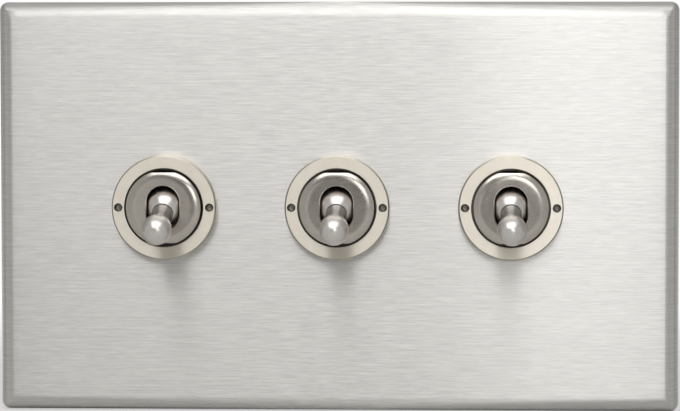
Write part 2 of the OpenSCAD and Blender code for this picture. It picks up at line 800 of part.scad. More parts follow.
module switch_base(g) {
    pocket = block_w + 2 * drop_gap;
    pocket_h = block_h + 2 * drop_gap;
    color([0.15, 0.15, 0.16]) at_gang(g) difference() {
        translate([0, 0, -case_back])
            linear_extrude(cover_z + case_back) rounded_rect(case_w, case_h, case_r);
        translate([-chamber_w / 2, -chamber_h / 2, floor_z])
            cube([chamber_w, chamber_h, cover_z - floor_z + cut]);
        at_clamps() {
            translate([-pocket / 2, -pocket_h / 2, block_rear_z]) cube([pocket, pocket_h, case_back]);
            translate([0, 0, -case_back - cut])
                cylinder(d = clamp_d + 2 * drop_gap, h = rear_wall + 2 * cut);
        }
        for (at = terminals) translate([at[0], at[1], wire_z]) rotate([-90 * sign(at[1]), 0, 0])
            cylinder(d = wire_entry_d, h = case_h);
        at_assembly() assembly_screw_space();
    }
}

front_plate();
plate_liner();
mounting_yoke();
fixing_screws();
earth_terminal();
earth_screw();
for (g = gangs) {
    ring_nut(g);
    bush(g);
    dolly(g);
    pivot_pin(g);
    spring(g);
    plunger(g);
    rocker(g);
    switch_cover(g);
    switch_base(g);
    com_terminal(g);
    way1_terminal(g);
    way2_terminal(g);
    terminal_screws(g);
    assembly_screws(g);
}
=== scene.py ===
"""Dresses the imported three-gang toggle wall switch.

The brushed plate, ring nuts, bushes, dollies and springs are smooth surfaces worked out from their
sections. The liner, yoke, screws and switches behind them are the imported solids, each with a finish of its
own.
"""

import json
import math

import bmesh
import bpy
import numpy as np
from bpy.props import FloatProperty, FloatVectorProperty, PointerProperty
from bpy.types import Operator, Panel, PropertyGroup
from mathutils import Euler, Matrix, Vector


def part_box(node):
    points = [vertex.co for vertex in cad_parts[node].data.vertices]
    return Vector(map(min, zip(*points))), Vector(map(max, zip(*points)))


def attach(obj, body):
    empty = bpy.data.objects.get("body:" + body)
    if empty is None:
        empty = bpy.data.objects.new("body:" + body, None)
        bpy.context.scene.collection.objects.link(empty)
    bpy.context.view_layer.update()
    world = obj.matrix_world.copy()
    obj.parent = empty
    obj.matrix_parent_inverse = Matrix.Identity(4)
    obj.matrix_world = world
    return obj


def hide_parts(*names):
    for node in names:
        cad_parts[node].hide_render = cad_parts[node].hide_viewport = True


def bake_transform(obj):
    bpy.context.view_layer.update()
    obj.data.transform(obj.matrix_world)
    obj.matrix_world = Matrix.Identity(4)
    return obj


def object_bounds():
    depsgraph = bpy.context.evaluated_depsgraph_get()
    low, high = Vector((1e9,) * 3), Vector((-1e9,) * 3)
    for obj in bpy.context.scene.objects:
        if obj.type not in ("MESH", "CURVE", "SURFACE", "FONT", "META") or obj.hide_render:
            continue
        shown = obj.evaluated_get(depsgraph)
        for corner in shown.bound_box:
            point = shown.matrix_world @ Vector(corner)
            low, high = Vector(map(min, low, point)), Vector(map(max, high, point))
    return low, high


bl_info = {
    "name": "Toggle wall switch",
    "version": (1, 0, 0),
    "blender": (4, 5, 0),
    "location": "3D View > Sidebar > Wall switch",
    "description": "Dresses a three-gang toggle wall switch round its packed frame",
    "category": "Object",
}

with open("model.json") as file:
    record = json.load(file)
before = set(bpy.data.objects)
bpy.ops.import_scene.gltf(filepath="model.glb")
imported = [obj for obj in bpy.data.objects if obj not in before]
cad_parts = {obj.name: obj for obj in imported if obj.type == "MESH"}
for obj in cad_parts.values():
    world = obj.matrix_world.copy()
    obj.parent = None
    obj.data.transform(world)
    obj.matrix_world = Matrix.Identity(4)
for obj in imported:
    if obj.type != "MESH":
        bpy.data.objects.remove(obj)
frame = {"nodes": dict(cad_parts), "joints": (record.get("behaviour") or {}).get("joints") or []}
CAD_BOX = [list(corner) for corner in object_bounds()]
SENSOR = 36.0  # width of the camera's sensor in millimetres
MERGE = 1e-7  # points nearer than this, in metres, are one
TINY = 1e-9  # keeps a division off nought
CREASE = math.radians(34.0)  # an edge that turns by more is sharp
# dark colour of painted shade in the spanner holes and in the dolly's groove
DEEP_SHADE = (0.05, 0.045, 0.038, 1.0)
# darker colour for painted shade: with a little lubricant on the threads, alone on the nuts' lower edges, and
# as a painted dark reflection on the dolly's neck
OIL_AND_SHADE = (0.17, 0.155, 0.13, 1.0)
BRUSHED = {"anisotropic": 1.0, "anisotropic_rotation": 0.25}  # highlights drawn out across the brushing
TILTS = [joint for joint in frame["joints"] if joint["name"].startswith("dolly_")]
GANG_X = [joint["pos_m"][0] for joint in TILTS]
GANGS = list(enumerate(GANG_X, start=1))
PITCH = GANG_X[1] - GANG_X[0]
PIVOT_OUT = -TILTS[0]["pos_m"][1]
THROW = math.radians(TILTS[0]["range_deg"][1] / 2)


# Steps of the grids: the plate's face and rim, the rounds, the nut's face, the bush, the dolly and the rest.
FACE_UP, FACE_GANG, FACE_END, FACE_HOLE = 72, 36, 8, 10
EDGE_STEPS, BEND_STEPS, CORNER_STEPS = 22, 8, 12
NUT_ROUND, BUSH_ROUND, DOLLY_ROUND, WIRE_ROUND, DRILL_ROUND, FLOOR_ROUND = 240, 360, 128, 12, 48, 96
NUT_OUTWARD, NUT_BESIDE, NUT_HOLE = 8, 6, 6
SEAT_STEPS, CROWN_STEPS = 8, 12
BALL_STEPS, FLANK_STEPS, END_STEPS = 36, 14, 24
COIL_STEPS, FLOOR_OUTWARD, SOFT_STEPS = 40, 12, 3
WIRE_END = (0, 30, 60)  # angles of the wire's round ends, in degrees
SOFT_SHARE = 0.45  # most that a softened corner takes of a side
NUT_BREAK, BUSH_HOLD = 0.00008, 0.00012  # widths of the nut's broken edges and of rows that hold the bush's
NUT_SOFT, TAIL_SOFT, NECK_SOFT = 0.00006, 0.00012, 0.00005  # radii of softened corners


def box_size(node):
    """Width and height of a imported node, then how far its front and back stand out of the wall."""
    low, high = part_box(node)
    span = high - low
    return span.x, span.z, -low.y, -high.y


PLATE_W, PLATE_H, PLATE_OUT, _ = box_size("front_plate")
NUT_D, _, NUT_OUT, NUT_BACK = box_size("ring_nut_2")
FLANGE_W, FLANGE_H, BUSH_OUT, _ = box_size("bush_2")


def length(name, description, default):
    """A size in metres for a property group."""
    return FloatProperty(
        name=name, description=description, default=default, min=0.0, unit="LENGTH", precision=5
    )


def ratio(name, description, default, high=1.0, low=0.0):
    """A plain number for a property group."""
    return FloatProperty(name=name, description=description, default=default, min=low, max=high, precision=3)


def tint(name, description, default):
    """A linear colour for a property group."""
    return FloatVectorProperty(
        name=name, description=description, default=default, size=3, min=0.0, max=1.0, subtype="COLOR"
    )


class PlateSizes(PropertyGroup):
    """Sizes of the front plate."""

    width: length("Width", "From side to side", PLATE_W)
    height: length("Height", "From bottom to top", PLATE_H)
    depth: length("Depth", "From the wall to the face", PLATE_OUT)
    sheet: length("Sheet", "Thickness of the steel", 0.001)
    edge: length("Edge", "Outer radius of the rounded front edge, no less than the corner's", 0.0034)
    bend: length("Bend", "Inner radius of that edge", 0.0014)
    corner: length("Corner", "Radius of the corners in outline", 0.0019)
    hole: length("Hole", "Radius of the holes for the bushes", 0.00815)
    burr: length("Edge break", "Width of the broken edges of the sheet", 0.0001)


class NutSizes(PropertyGroup):
    """Sizes of the ring nuts."""

    radius: length("Radius", "Outside radius", NUT_D / 2)
    back: length("Back", "Distance of the back from the wall", NUT_BACK)
    front: length("Front", "Distance of the face from the wall", NUT_OUT)
    bore: length("Bore", "Radius of the thread", 0.00805)
    mouth: length("Mouth", "Radius of the plain mouth", 0.00845)
    mouth_depth: length("Mouth depth", "Depth of the plain mouth", 0.0012)
    chamfer: length("Chamfer", "Chamfer round the front edge", 0.0003)
    hole: length("Spanner hole", "Radius of a spanner hole", 0.00085)
    hole_at: length("Hole circle", "Radius of the circle of the spanner holes", 0.0098)
    hole_depth: length("Hole depth", "Depth of a spanner hole", 0.0011)


class BushSizes(PropertyGroup):
    """Sizes of the bushes."""

    radius: length("Radius", "Outside radius of the barrel", 0.008)
    flats: length("Flats", "Distance across the two flats", 0.0151)
    front: length("Front", "Distance of the face from the wall", BUSH_OUT)
    crown: length("Crown", "Width of the crowned band round the face", 0.0024)
    crown_fall: length("Crown fall", "Fall of the crowned band to the edge", 0.00045)
    seat: length("Seat", "Radius of the seat of the ball", 0.0043)
    slot_width: length("Slot width", "Width of the slot", 0.0071)
    slot_length: length("Slot length", "Length of the slot", 0.0095)
    slot_chamfer: length("Slot chamfer", "Chamfer round the mouth of the slot", 0.00015)
    rear_length: length("Rear slot", "Length of the wider slot behind the ball", 0.011014)
    rear_front: length("Rear step", "Distance of the step between the slots from the wall", 0.0022)
    pin_bore: length("Pin bore", "Radius of the cross bore for the pin", 0.00102)
    flange_front: length("Flange front", "Distance of the flange's front from the wall", 0.0002)
    flange_depth: length("Flange depth", "Thickness of the flange", 0.0015)
    flange_corner: length("Flange corner", "Radius of the flange's corners", 0.0015)


class DollySizes(PropertyGroup):
    """Sizes of the dollies, measured along the lever from its pivot."""

    ball: length("Ball", "Radius of the ball", 0.0041)
    shoulder: length("Shoulder", "Radius of the shoulder where the ball ends", 0.0023)
    groove: length("Groove", "Radius in the groove", 0.00205)
    groove_width: length("Groove width", "Width of the groove", 0.00025)
    neck: length("Neck", "Radius of the neck", 0.00225)
    knob: length("Knob", "Radius of the knob", 0.00315)
    knob_from: length("Knob start", "Distance of the knob's start", 0.0086)
    knob_at: length("Knob place", "Distance of the middle of the knob's round end", 0.0118)
    tail: length("Tail", "Radius of the tail", 0.0022)
    tail_length: length("Tail length", "Length of the tail behind the pivot", 0.0094)
    bore: length("Bore", "Radius of the bore in the tail", 0.0013)
    bore_depth: length("Bore depth", "Depth of the bore", 0.0058)
    pin_bore: length("Pin bore", "Radius of the cross bore for the pin", 0.00105)


class SpringSizes(PropertyGroup):
    """Sizes of the springs, with places behind the pivot."""

    coil: length("Coil", "Mean radius of the coil", 0.0009)
    wire: length("Wire", "Radius of the wire", 0.00015)
    near: length("Near end", "Distance of the end at the floor of the bore", 0.00365)
    far: length("Far end", "Distance of the end at the plunger", 0.00675)
    turns: ratio("Turns", "Number of turns", 6.0, 9.0, 3.0)
    ease: ratio("Ease", "How much closer than the mean the end turns lie", 0.28)


class Finishes(PropertyGroup):
    """Colours of the metals and mouldings."""

    plate: tint("Plate", "Brushed steel of the plate", (0.76, 0.75, 0.725))
    nut: tint("Ring nuts", "Satin nickel", (0.775, 0.725, 0.635))
    bush: tint("Bushes", "Polished nickel", (0.53, 0.492, 0.448))
    dolly: tint("Dollies", "Turned and satin nickel", (0.7, 0.675, 0.645))
    zinc: tint("Zinc", "Zinc plate of the yoke and screws", (0.56, 0.58, 0.6))
    brass: tint("Brass", "Terminal blocks", (0.66, 0.46, 0.2))
    copper: tint("Copper", "Rocking contacts", (0.7, 0.36, 0.22))
    steel: tint("Steel", "Pins and springs", (0.5, 0.5, 0.51))
    moulding: tint("Moulding", "Cases, covers and liner", (0.022, 0.022, 0.024))
    nylon: tint("Nylon", "Plungers", (0.8, 0.78, 0.72))


class StudioSettings(PropertyGroup):
    """Camera and light."""

    distance: length("Distance", "Camera's distance from the plate", 0.4)
    right: length("Right", "Camera's place to the right of the middle", 0.028)
    up: length("Up", "Camera's place above the middle", 0.03)
    turn: ratio("Turn", "Share of the camera's offset met by turning it, the rest by shift", 0.4)
    view_width: length("View width", "Width of the picture at the plate's edge", 0.1474)
    view_right: length("View right", "Picture's middle to the right of the plate's", 0.0003)
    view_up: length("View up", "Picture's middle above the plate's", 0.00013)
    floor: tint("Floor", "Pale floor", (0.61, 0.606, 0.597))
    floor_reach: length("Floor reach", "Radius of the floor", 0.32)
    sky: ratio("Sky", "Light from all round", 0.17, 5.0)
    wall: ratio("Wall", "Added light from the sides and behind", 0.15, 5.0)
    top: ratio("Top", "Added light from above", 0.38, 5.0)
    box: ratio("Box", "Light of the softbox over the camera", 1.5, 5.0)
    cards: ratio("Cards", "Light of the cards at the front left and right", 0.33, 5.0)
    low_card: ratio("Low card", "Added light of a small card left of the camera", 0.45, 5.0)
    front: ratio("Front lamp", "Power of the lamp over the camera, in watts", 0.33, 50.0)
    right_lamp: ratio("Right lamp", "Power of the small lamp right of the camera, in watts", 0.1, 50.0)
    over: ratio("Top lamp", "Power of the lamp over the top edge, in watts", 0.37, 50.0)


def stand(right, up, out):
    """Points drawn as right, up and out of the wall, put into the frame as X, Z and -Y."""
    return np.stack(np.broadcast_arrays(right, -np.asarray(out), up), axis=-1).astype(float)


def quads(rows, columns, closed):
    """Corner numbers of a grid's quads: each joins two neighbours in a row to the two in the next row."""
    row, column = np.meshgrid(
        np.arange(rows - 1), np.arange(columns if closed else columns - 1), indexing="ij"
    )
    beside = (column + 1) % columns
    corners = [(row, column), (row, beside), (row + 1, beside), (row + 1, column)]
    return np.stack([r * columns + c for r, c in corners], axis=-1).reshape(-1, 4)


def full_turn(steps):
    """Angles of equal steps round a circle."""
    return 2 * math.pi * np.arange(steps) / steps


def welded(mesh):
    """A mesh's shell with touching points joined, and without the faces that this leaves with no size."""
    shell = bmesh.new()
    shell.from_mesh(mesh)
    bmesh.ops.remove_doubles(shell, verts=shell.verts, dist=MERGE)
    bmesh.ops.dissolve_degenerate(shell, dist=MERGE, edges=shell.edges)
    return shell


def require_closed(name, mesh):
    """Raises where an edge of a mesh doesn't lie between two faces."""
    shell = bmesh.new()
    shell.from_mesh(mesh)
    open_edges = sum(not edge.is_manifold for edge in shell.edges)
    shell.free()
    if open_edges:
        raise RuntimeError(f"{name} isn't closed: {open_edges} edges")


def put(name, data):
    """A new object in the scene."""
    made = bpy.data.objects.new(name, data)
    bpy.context.scene.collection.objects.link(made)
    return made


def make_piece(name, patches):
    """One closed mesh from grid patches, each an array of points, whether its columns run round, and the
    unfolded places of its points for a brushed grain, or None. Touching points of the patches are joined."""
    grids, closed, unfolded = zip(*patches)
    starts = np.cumsum([0] + [grid[..., 0].size for grid in grids])
    points = np.concatenate([grid.reshape(-1, 3) for grid in grids])
    faces = np.concatenate([
        quads(*grid.shape[:2], runs_round) + start for grid, runs_round, start in zip(grids, closed, starts)
    ])
    mesh = bpy.data.meshes.new(name)
    mesh.from_pydata(points.tolist(), [], faces.tolist())
    if unfolded[0] is not None:
        flat = np.concatenate([places.reshape(-1, 2) for places in unfolded])
        brush = mesh.attributes.new("brush", "FLOAT_VECTOR", "POINT")
        brush.data.foreach_set("vector", np.pad(flat, ((0, 0), (0, 1))).astype(np.float32).ravel())
    shell = welded(mesh)
    bmesh.ops.recalc_face_normals(shell, faces=shell.faces)
    shell.to_mesh(mesh)
    shell.free()
    require_closed(name, mesh)
    mesh.shade_smooth()
    mesh.set_sharp_from_angle(angle=CREASE)
    return put(name, mesh)


def settle(piece, body, slot, material, *nodes):
    """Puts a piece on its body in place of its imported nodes, with its finish."""
    piece.data.materials.append(material)
    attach(piece, body)
    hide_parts(*nodes)


def arc(centre, radius, start, stop, steps):
    """Points on a circle from one angle to another, in degrees, as pairs of across and along."""
    angle = np.radians(np.linspace(start, stop, steps + 1))
    return np.stack([centre[0] + radius * np.cos(angle), centre[1] + radius * np.sin(angle)], axis=-1)


def soften(corners, radius):
    """Row of points with its inner corners rounded: each becomes a parabola between the points one radius
    before and after it, or a set share of the shorter side where that is less."""
    corners = np.asarray(corners, dtype=float)
    middle = corners[1:-1]
    before, after = corners[:-2] - middle, corners[2:] - middle
    back, on = (np.linalg.norm(side, axis=1, keepdims=True) for side in (before, after))
    reach = np.minimum(radius, SOFT_SHARE * np.minimum(back, on))
    share = np.linspace(0, 1, SOFT_STEPS + 1)[None, :, None]
    first, last = (middle + side / size * reach for side, size in ((before, back), (after, on)))
    leaving = (1 - share) ** 2 * first[:, None] + 2 * share * (1 - share) * middle[:, None]
    curve = leaving + share**2 * last[:, None]
    return np.concatenate([corners[:1], curve.reshape(-1, 2), corners[-1:]])


def rect_loop(across, along):
    """Points round a rectangle, from the places of its columns and rows."""
    low, high = np.full(across.size - 1, along[0]), np.full(across.size - 1, along[-1])
    left, right = np.full(along.size - 1, across[0]), np.full(along.size - 1, across[-1])
    sides = [(across[:-1], low), (right, along[:-1]), (across[:0:-1], high), (left, along[:0:-1])]
    return np.concatenate([np.stack(side, axis=-1) for side in sides])


def spokes(outline, centre):
    """Unit directions from a centre to the points of an outline round it."""
    away = outline - centre
    return away / np.linalg.norm(away, axis=1, keepdims=True)


def holed_cell(outline, centre, radius, rows):
    """Grid between a circle and an outline round it: rows move on from the one to the other along spokes,
    closer together near the circle."""
    rim = centre + radius * spokes(outline, centre)
    share = (np.linspace(0, 1, rows + 1) ** 1.6)[:, None, None]
    return rim + share * (outline - rim)


def hole_wall(outline, centre, profile):
    """Wall of a round hole: a row of radius and level carried round the spokes to an outline's points, as
    places on the face and as points."""
    ring = centre + profile[:, 0, None, None] * spokes(outline, centre)
    return ring, stand(ring[..., 0], ring[..., 1], profile[:, 1, None])


def plate_patches(sizes):
    """The plate's two faces are rectangles round three holes, and its rim is a section carried round the
    rectangle: round the edge, down to the wall and back up inside the sheet. Outside the path of the
    corners' middles it turns about them, and inside it the path itself shrinks, so the rounded edges meet
    in mitres."""
    face, rear, burr = sizes.depth, sizes.depth - sizes.sheet, sizes.burr
    half = np.array([sizes.width, sizes.height]) / 2 - sizes.corner
    tuck = sizes.edge - sizes.corner
    flat_x, flat_z = half - tuck
    along = np.linspace(-flat_z, flat_z, FACE_UP + 1)
    cells = [np.linspace(x - PITCH / 2, x + PITCH / 2, FACE_GANG + 1) for x in GANG_X]
    limits = [(-flat_x, cells[0][0]), (cells[-1][-1], flat_x)]
    ends = [np.linspace(start, stop, FACE_END + 1) for start, stop in limits]
    loops = [rect_loop(across, along) for across in cells]
    middles = [np.array([x, 0.0]) for x in GANG_X]
    flats = [
        (holed_cell(loop, middle, sizes.hole + burr, FACE_HOLE), True)
        for loop, middle in zip(loops, middles)
    ] + [(np.stack(np.meshgrid(across, along, indexing="ij"), axis=-1), False) for across in ends]
    patches = [
        (stand(flat[..., 0], flat[..., 1], level), closed, flat)
        for flat, closed in flats for level in (face, rear)
    ]
    wall = np.array([
        (sizes.hole + burr, face), (sizes.hole, face - burr),
        (sizes.hole, rear + burr), (sizes.hole + burr, rear),
    ])
    for loop, middle in zip(loops, middles):
        ring, sheet_wall = hole_wall(loop, middle, wall)
        patches.append((sheet_wall, True, ring))
    across = np.concatenate([ends[0], *(cell[1:] for cell in cells), ends[1][1:]])
    turns = np.linspace(0, math.pi / 2, CORNER_STEPS + 1)
    sides = [
        (across, -flat_z, -math.pi / 2), (flat_x, -flat_z, turns - math.pi / 2),
        (flat_x, along, 0.0), (flat_x, flat_z, turns),
        (across[::-1], flat_z, math.pi / 2), (-flat_x, flat_z, turns + math.pi / 2),
        (-flat_x, along[::-1], math.pi), (-flat_x, -flat_z, turns + math.pi),
    ]
    path = np.concatenate([np.stack(np.broadcast_arrays(*side), axis=-1) for side in sides])
    outward = np.stack([np.cos(path[:, 2]), np.sin(path[:, 2])], axis=-1)
    inside = sizes.corner - sizes.sheet
    section = np.concatenate([
        arc((-tuck, face - sizes.edge), sizes.edge, 90, 0, EDGE_STEPS),
        [(sizes.corner, burr), (sizes.corner - burr, 0.0), (inside + burr, 0.0), (inside, burr)],
        arc((inside - sizes.bend, rear - sizes.bend), sizes.bend, 0, 90, BEND_STEPS), [(-tuck, rear)],
    ])
    run = np.concatenate([[0.0], np.cumsum(np.linalg.norm(np.diff(section, axis=0), axis=1))])
    reach = section[:, 0, None, None]
    shrunk = (half + np.minimum(reach, 0.0)) / (half - tuck)
    rim = path[:, :2] * shrunk + np.maximum(reach, 0.0) * outward
    unfolded = rim + (run[:, None, None] - reach - tuck) * outward
    patches.append((stand(rim[..., 0], rim[..., 1], section[:, 1, None]), True, unfolded))
    return patches


def nut_patches(sizes, x):
    """The nut's section from the edge of its face round the outside, the back and the thread to the mouth is
    turned about the bush. Its face is an annulus with a cell round each blind, cone-ended spanner hole."""
    centre = np.array([x, 0.0])
    inner, outer = sizes.mouth + NUT_BREAK, sizes.radius - sizes.chamfer
    step = sizes.front - sizes.mouth_depth
    section = soften([
        (outer, sizes.front), (sizes.radius, sizes.front - sizes.chamfer), (sizes.radius, sizes.back),
        (sizes.bore, sizes.back), (sizes.bore, step), (sizes.mouth, step),
        (sizes.mouth, sizes.front - NUT_BREAK), (inner, sizes.front),
    ], NUT_SOFT)
    angle = full_turn(NUT_ROUND)
    body = stand(
        x + section[:, 0, None] * np.cos(angle), section[:, 0, None] * np.sin(angle), section[:, 1, None]
    )
    patches = [(body, True, None)]
    radial = np.linspace(inner, outer, NUT_OUTWARD + 1)
    band = radial[:, None]
    floor = sizes.front - sizes.hole_depth
    well = np.array([
        (sizes.hole + NUT_BREAK, sizes.front), (sizes.hole, sizes.front - NUT_BREAK), (sizes.hole, floor),
        (0.0, floor - sizes.hole / 2),
    ])
    half_turn = NUT_ROUND // 2
    for start, side in ((0, 1), (half_turn, -1)):
        sector = 2 * math.pi * (start + np.arange(NUT_BESIDE, half_turn - NUT_BESIDE + 1)) / NUT_ROUND
        patches.append((stand(x + band * np.cos(sector), band * np.sin(sector), sizes.front), False, None))
        near = 2 * math.pi * (start + np.arange(-NUT_BESIDE, NUT_BESIDE + 1)) / NUT_ROUND
        loop = rect_loop(near, radial)
        outline = centre + loop[:, 1, None] * np.stack([np.cos(loop[:, 0]), np.sin(loop[:, 0])], axis=-1)
        hole = centre + np.array([side * sizes.hole_at, 0.0])
        cell = holed_cell(outline, hole, sizes.hole + NUT_BREAK, NUT_HOLE)
        patches.append((stand(cell[..., 0], cell[..., 1], sizes.front), True, None))
        patches.append((hole_wall(outline, hole, well)[1], True, None))
    return patches


def obround_reach(angle, width, span):
    """Distance from the middle of an upright slot with round ends to its edge, along each angle: to the
    straight side, or else to the end's circle by the quadratic for a ray and a circle."""
    across, along = np.abs(np.cos(angle)), np.abs(np.sin(angle))
    radius, half = width / 2, (span - width) / 2
    side = radius / np.maximum(across, TINY)
    end = along * half + np.sqrt(np.maximum(radius**2 - (across * half) ** 2, 0))
    return np.where(side * along <= half, side, end)


def rect_reach(angle, width, height, corner):
    """Distance from the middle of a rectangle with round corners to its edge, along each angle: to the
    nearer side, or to the corner's circle where that is nearer still."""
    across, along = np.abs(np.cos(angle)), np.abs(np.sin(angle))
    half_x, half_y = width / 2 - corner, height / 2 - corner
    side = np.minimum(width / 2 / np.maximum(across, TINY), height / 2 / np.maximum(along, TINY))
    reach = across * half_x + along * half_y
    round_end = reach + np.sqrt(np.maximum(reach**2 - half_x**2 - half_y**2 + corner**2, 0))
    on_corner = (side * across > half_x) & (side * along > half_y)
    return np.where(on_corner, round_end, side)


def bush_patches(sizes, x):
    """One closed section carried round the slot: up the wall of the ball's seat or the slot, whichever is
    wider, over the chamfer and the face, down the crown, which falls by a cube, and the barrel, over the
    flange and back up the wider slot behind. Two flats cut the barrel and its crown short."""
    angle = full_turn(BUSH_ROUND)
    slot = obround_reach(angle, sizes.slot_width, sizes.slot_length)
    grow = 2 * sizes.slot_chamfer
    mouth = obround_reach(angle, sizes.slot_width + grow, sizes.slot_length + grow)
    wide = np.maximum(obround_reach(angle, sizes.slot_width, sizes.rear_length), sizes.seat)
    flange = rect_reach(angle, FLANGE_W, FLANGE_H, sizes.flange_corner)
    front, back = sizes.front, sizes.flange_front - sizes.flange_depth
    lip = math.asin(sizes.slot_width / 2 / sizes.seat)
    turn = np.linspace(math.pi / 2, lip, SEAT_STEPS + 1)
    seat = [(np.maximum(slot, sizes.seat * math.sin(a)), PIVOT_OUT + sizes.seat * math.cos(a)) for a in turn]
    cut = sizes.flats / 2 / np.maximum(np.abs(np.sin(angle)), TINY)
    barrel = np.minimum(sizes.radius, cut)
    inner = sizes.radius - sizes.crown
    crown = np.linspace(inner, sizes.radius - BUSH_HOLD / 2, CROWN_STEPS + 1)
    edge = [np.minimum(reach, cut) for reach in crown]
    fall = [front - sizes.crown_fall * ((reach - inner) / sizes.crown) ** 3 for reach in edge]
    rows = [
        (np.maximum(slot, sizes.seat), sizes.rear_front), *seat, (slot, front - sizes.slot_chamfer),
        (mouth, front), (mouth + BUSH_HOLD, front), *zip(edge, fall), (barrel, fall[-1] - BUSH_HOLD / 2),
        (barrel, sizes.flange_front + BUSH_HOLD), (barrel, sizes.flange_front),
        (flange, sizes.flange_front), (flange, back), (wide, back), (wide, sizes.rear_front),
        (np.maximum(slot, sizes.seat), sizes.rear_front),
    ]
    reach, level = (np.stack([np.broadcast_to(row[part], angle.shape) for row in rows]) for part in (0, 1))
    return [(stand(x + reach * np.cos(angle), reach * np.sin(angle), level), True, None)]


def dolly_section(sizes):
    """Radius and place along the lever: the bored tail, the ball up to its shoulder, the groove, the neck,
    and the knob whose flank is an arc that meets its round end."""
    shoulder_at = math.sqrt(sizes.ball**2 - sizes.shoulder**2)
    cap = math.degrees(math.acos(sizes.shoulder / sizes.ball))
    joint = math.degrees(math.acos(sizes.tail / sizes.ball))
    drop = sizes.knob_at - sizes.knob_from
    flank = (drop**2 + sizes.neck**2 - sizes.knob**2) / (2 * (sizes.knob - sizes.neck))
    turn = math.degrees(math.asin(drop / (sizes.knob + flank)))
    groove_end = shoulder_at + sizes.groove_width
    floor = sizes.bore_depth - sizes.tail_length
    tail = soften([
        (0.0, floor), (sizes.bore, floor), (sizes.bore, -sizes.tail_length), (sizes.tail, -sizes.tail_length),
        (sizes.tail, -sizes.ball * math.sin(math.radians(joint))),
    ], TAIL_SOFT)
    ball = arc((0.0, 0.0), sizes.ball, -joint, cap, BALL_STEPS)
    neck = soften([
        ball[-2], ball[-1], (sizes.groove, shoulder_at), (sizes.groove, groove_end), (sizes.neck, groove_end),
        (sizes.neck, sizes.knob_from),
    ], NECK_SOFT)
    sides = arc((-flank, sizes.knob_at), sizes.knob + flank, -turn, 0, FLANK_STEPS)
    end = arc((0.0, sizes.knob_at), sizes.knob, 0, 90, END_STEPS)
    return np.concatenate([tail, ball[1:-1], neck[1:], sides[1:], end[1:]])


def on_lever(x, across, lift, along):
    """Points by their place across a lever, up from its axis and along it from the pivot. The axis leans
    down from the pivot by the throw."""
    return stand(
        x + across,
        lift * math.cos(THROW) - along * math.sin(THROW),
        PIVOT_OUT + lift * math.sin(THROW) + along * math.cos(THROW),
    )


def dolly_patches(sizes, x):
    """The lever's section turned about its axis."""
    section = dolly_section(sizes)
    angle = full_turn(DOLLY_ROUND)
    radius, along = section[:, 0, None], section[:, 1, None]
    return [(on_lever(x, radius * np.cos(angle), radius * np.sin(angle), along), True, None)]


def coil_patches(sizes, x):
    """Round wire carried along a helix in the tail's bore. A sine taken off the rise brings the end turns
    closer together, and the wire's ends are half spheres."""
    share = np.linspace(0, 1, int(sizes.turns * COIL_STEPS) + 1)
    turn = 2 * math.pi * sizes.turns * share
    rise = sizes.far - sizes.near - 2 * sizes.wire
    level = sizes.wire - sizes.far + rise * (share - sizes.ease * np.sin(2 * math.pi * share) / (2 * math.pi))
    out = np.stack([np.cos(turn), np.sin(turn), np.zeros_like(turn)], axis=-1)
    middle = sizes.coil * out + level[:, None] * np.array([0.0, 0.0, 1.0])
    ahead = np.gradient(middle, axis=0)
    ahead /= np.linalg.norm(ahead, axis=1, keepdims=True)
    cap = np.radians(WIRE_END)[:, None]
    first = middle[:1] - sizes.wire * np.cos(cap) * ahead[:1]
    last = middle[-1:] + sizes.wire * np.cos(cap[::-1]) * ahead[-1:]
    thick = np.concatenate([np.sin(cap), np.ones((share.size, 1)), np.sin(cap[::-1])])
    radius = sizes.wire * thick[..., None]
    middle = np.concatenate([first, middle, last])[:, None]
    out, ahead = (np.pad(way, ((len(cap), len(cap)), (0, 0)), mode="edge") for way in (out, ahead))
    angle = full_turn(WIRE_ROUND)[:, None]
    wire = middle + radius * (out[:, None] * np.cos(angle) + np.cross(ahead, out)[:, None] * np.sin(angle))
    return [(on_lever(x, wire[..., 0], wire[..., 1], wire[..., 2]), True, None)]


def cross_bore(piece, x, radius, reach):
    """Drills a piece from side to side along its pivot: a Boolean modifier takes a cylinder out, and its
    result becomes the mesh."""
    angle = full_turn(DRILL_ROUND)
    ends = np.array([(0.0, -reach), (radius, -reach), (radius, reach), (0.0, reach)])
    drill = make_piece("drill", [(stand(
        x + ends[:, 1, None], ends[:, 0, None] * np.cos(angle), PIVOT_OUT + ends[:, 0, None] * np.sin(angle)
    ), True, None)])
    cut = piece.modifiers.new("cross_bore", "BOOLEAN")
    cut.operation, cut.solver, cut.object = "DIFFERENCE", "EXACT", drill
    cut_mesh = bpy.data.meshes.new_from_object(piece.evaluated_get(bpy.context.evaluated_depsgraph_get()))
    piece.modifiers.clear()
    piece.data = cut_mesh
    bpy.data.objects.remove(drill)
    require_closed(piece.name, cut_mesh)


